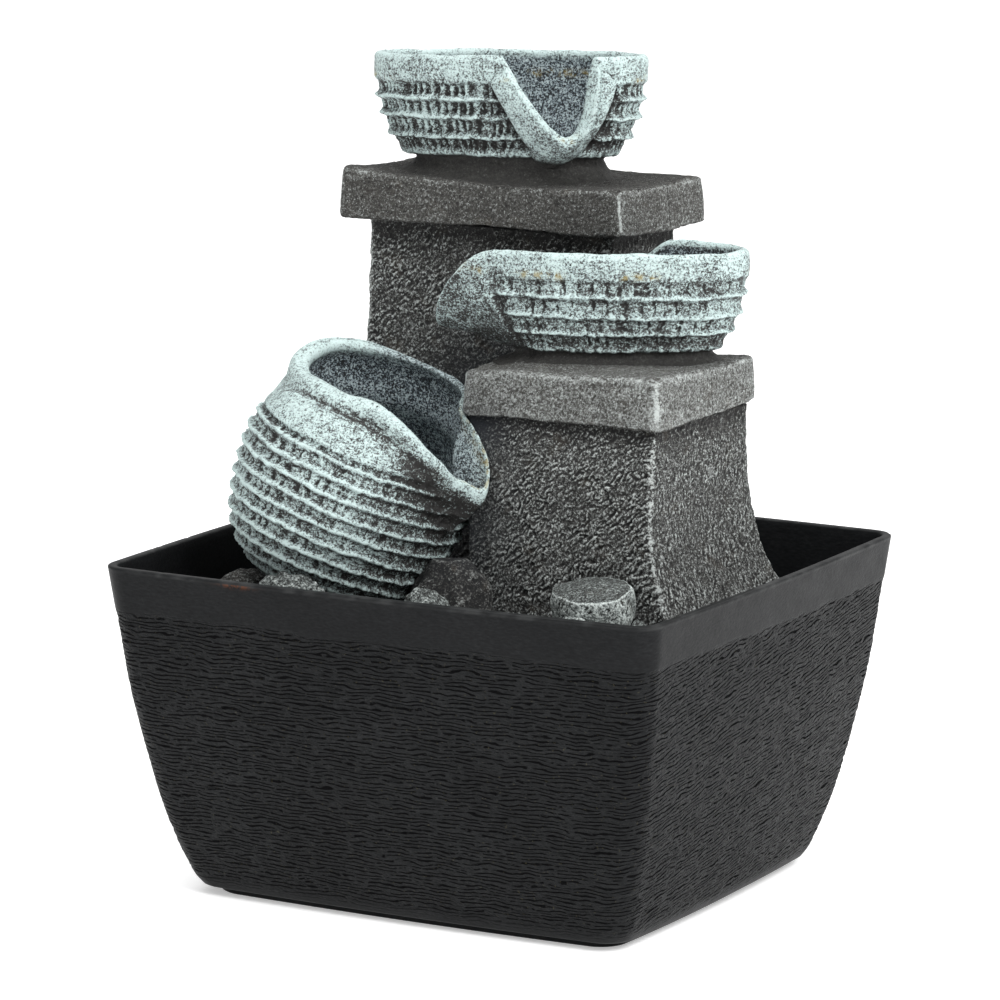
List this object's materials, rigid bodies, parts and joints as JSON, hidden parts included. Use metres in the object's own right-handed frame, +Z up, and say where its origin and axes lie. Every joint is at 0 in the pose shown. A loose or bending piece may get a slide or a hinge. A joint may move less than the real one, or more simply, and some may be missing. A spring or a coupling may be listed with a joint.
{
  "type": "tabletop water fountain",
  "caption": "Tabletop water fountain: tapered dark tub holding a lift-out cast stone sculpture with oval spouted bowls, a tilted jug and a submersible pump.",
  "frame": {"origin": "ground level at the middle of the tub", "axes": "+Z up, front of the fountain faces -Y, jug on the -X side and the low pillar on the +X side"},
  "size_m": [0.2, 0.1786, 0.2638],
  "materials": {
    "tub_plastic": "moulded charcoal plastic, bark relief below a smooth band",
    "stone_resin": "cast resin stone, dark brown grey with pale dry-brushed edges",
    "patina_resin": "pale blue-green dry brush over dark brown-grey recesses",
    "rock_resin": "dark cast rock",
    "pebble_resin": "pale dry-brushed pebbles",
    "pump_plastic": "satin black moulding",
    "rubber_black": "soft matt rubber",
    "epoxy_black": "poured potting",
    "shaft_steel": "ground steel",
    "lamination_steel": "stacked laminations",
    "winding_copper": "enamelled copper winding",
    "ferrite": "sintered ferrite",
    "white_plastic": "natural white moulding",
    "clear_vinyl": "translucent soft vinyl hose"
  },
  "bodies": {
    "basin": {"basin_tub": "tub_plastic", "pump_housing": "pump_plastic", "stator_core": "lamination_steel", "stator_coil": "winding_copper", "potting_plate": "epoxy_black", "volute_cover": "pump_plastic", "cord_gland": "rubber_black", "rotor_shaft": "shaft_steel", "inner_bushing": "rubber_black", "outer_bushing": "rubber_black", "suction_cup_1": "rubber_black", "suction_cup_2": "rubber_black", "suction_cup_3": "rubber_black", "suction_cup_4": "rubber_black"},
    "impeller": {"rotor_magnet": "ferrite", "impeller_vanes": "white_plastic"},
    "intake": {"intake_cover": "pump_plastic"},
    "regulator": {"flow_regulator": "white_plastic"},
    "sculpture": {"rock_base": "rock_resin", "tall_pillar": "stone_resin", "tall_slab": "stone_resin", "top_bowl": "patina_resin", "low_pillar": "stone_resin", "low_slab": "stone_resin", "middle_bowl": "patina_resin", "jug": "patina_resin", "left_rock": "rock_resin", "pale_rock": "pebble_resin", "rear_left_rock": "rock_resin", "dark_boulder": "rock_resin", "front_pebble": "pebble_resin", "flat_stone": "pebble_resin", "small_pebble_1": "pebble_resin", "small_pebble_2": "pebble_resin", "riser_tube": "clear_vinyl", "tube_grommet": "rubber_black", "outlet_nozzle": "pump_plastic"},
    "rear_hatch": {"back_cover": "stone_resin"}
  },
  "joints": [
    {"name": "sculpture_lift", "type": "slide", "parent": "basin", "child": "sculpture", "axis": [0, 0, 1], "range_m": [0, 0.125]},
    {"name": "back_cover_pull", "type": "slide", "parent": "sculpture", "child": "rear_hatch", "axis": [0, 1, 0], "range_m": [0, 0.03]},
    {"name": "impeller_spin", "type": "hinge", "parent": "basin", "child": "impeller", "pos_m": [-0.02, 0.03, 0.026], "axis": [0, 1, 0], "continuous": true},
    {"name": "intake_cover_pull", "type": "slide", "parent": "basin", "child": "intake", "axis": [0, 1, 0], "range_m": [0, 0.014]},
    {"name": "flow_regulator_slide", "type": "slide", "parent": "intake", "child": "regulator", "axis": [1, 0, 0], "range_m": [0, 0.008]}
  ]
}
